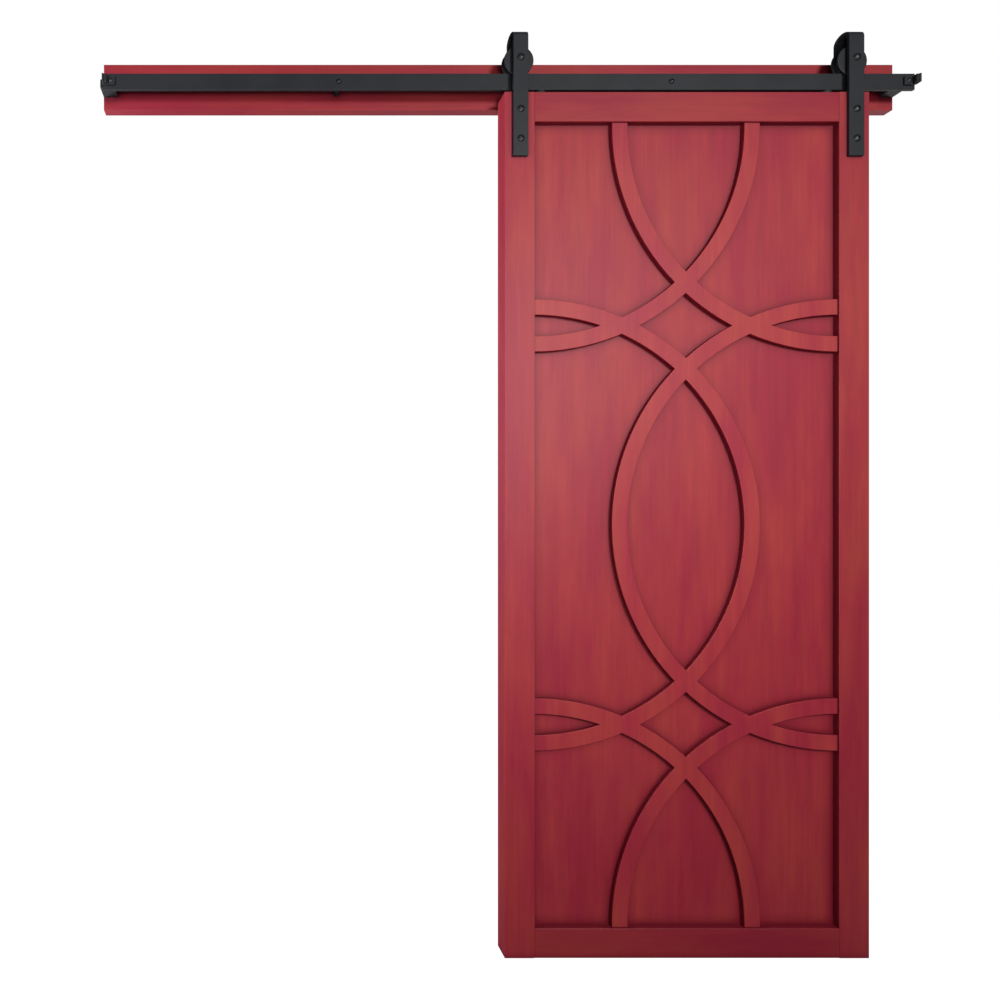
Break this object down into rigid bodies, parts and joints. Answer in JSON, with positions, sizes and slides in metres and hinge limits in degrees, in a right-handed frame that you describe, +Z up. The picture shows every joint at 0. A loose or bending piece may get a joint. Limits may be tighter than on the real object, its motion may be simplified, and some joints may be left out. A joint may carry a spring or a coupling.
{
  "type": "sliding barn door",
  "caption": "Framed sliding door leaf with curved fretwork on a flat panel, hung by flanged wheels in bent straps from a flat steel track on a header board.",
  "frame": {"origin": "centre of the header board's back face, which lies on the wall", "axes": "+Z up, +X along the track to the right as seen from the front, +Y into the wall, so the front of the door looks along -Y"},
  "size_m": [2.0235, 0.078, 2.287],
  "materials": {
    "stained_wood": "red stain under a satin clear coat, grain showing through",
    "track_steel": "matte charcoal powder coat",
    "fixings": "charcoal painted steel",
    "rubber": "black rubber",
    "nylon": "black nylon",
    "bearing_steel": "ground steel"
  },
  "bodies": {
    "track": {"header_board": "stained_wood", "track_rail": "track_steel", "end_spacers": "track_steel", "mid_spacers": "track_steel", "rail_screws": "fixings", "end_screws": "fixings", "end_stop_left": "track_steel", "end_stop_right": "track_steel", "stop_bumper_left": "rubber", "stop_bumper_right": "rubber"},
    "door": {"left_stile": "stained_wood", "right_stile": "stained_wood", "top_rail": "stained_wood", "bottom_rail": "stained_wood", "centre_panel": "stained_wood", "fretwork": "stained_wood", "hanger_strap_left": "track_steel", "hanger_strap_right": "track_steel", "axle_bushes_left": "track_steel", "axle_bushes_right": "track_steel", "strap_bolts": "fixings", "strap_washers": "fixings", "strap_nuts": "fixings", "axle_bolt_left": "fixings", "axle_bolt_right": "fixings", "axle_nuts": "fixings", "anti_jump_screws": "fixings", "anti_jump_discs": "nylon", "bearing_inner_left": "bearing_steel", "bearing_inner_right": "bearing_steel"},
    "wheel_left": {"wheel_left": "track_steel", "bearing_outer_left": "bearing_steel", "bearing_balls_left": "bearing_steel", "bearing_shields_left": "bearing_steel"},
    "wheel_right": {"wheel_right": "track_steel", "bearing_outer_right": "bearing_steel", "bearing_balls_right": "bearing_steel", "bearing_shields_right": "bearing_steel"}
  },
  "joints": [
    {"name": "door_slide", "type": "slide", "parent": "track", "child": "door", "axis": [1, 0, 0], "range_m": [-0.9983, 0.1303]},
    {"name": "wheel_left_spin", "type": "hinge", "parent": "door", "child": "wheel_left", "pos_m": [0.032, -0.054, 0.0323], "axis": [0, 1, 0], "continuous": true},
    {"name": "wheel_right_spin", "type": "hinge", "parent": "door", "child": "wheel_right", "pos_m": [0.856, -0.054, 0.0323], "axis": [0, 1, 0], "continuous": true}
  ],
  "couplings": [
    {"joint": "wheel_left_spin", "follows": "door_slide", "rad_per_m": 35.461},
    {"joint": "wheel_right_spin", "follows": "door_slide", "rad_per_m": 35.461}
  ]
}
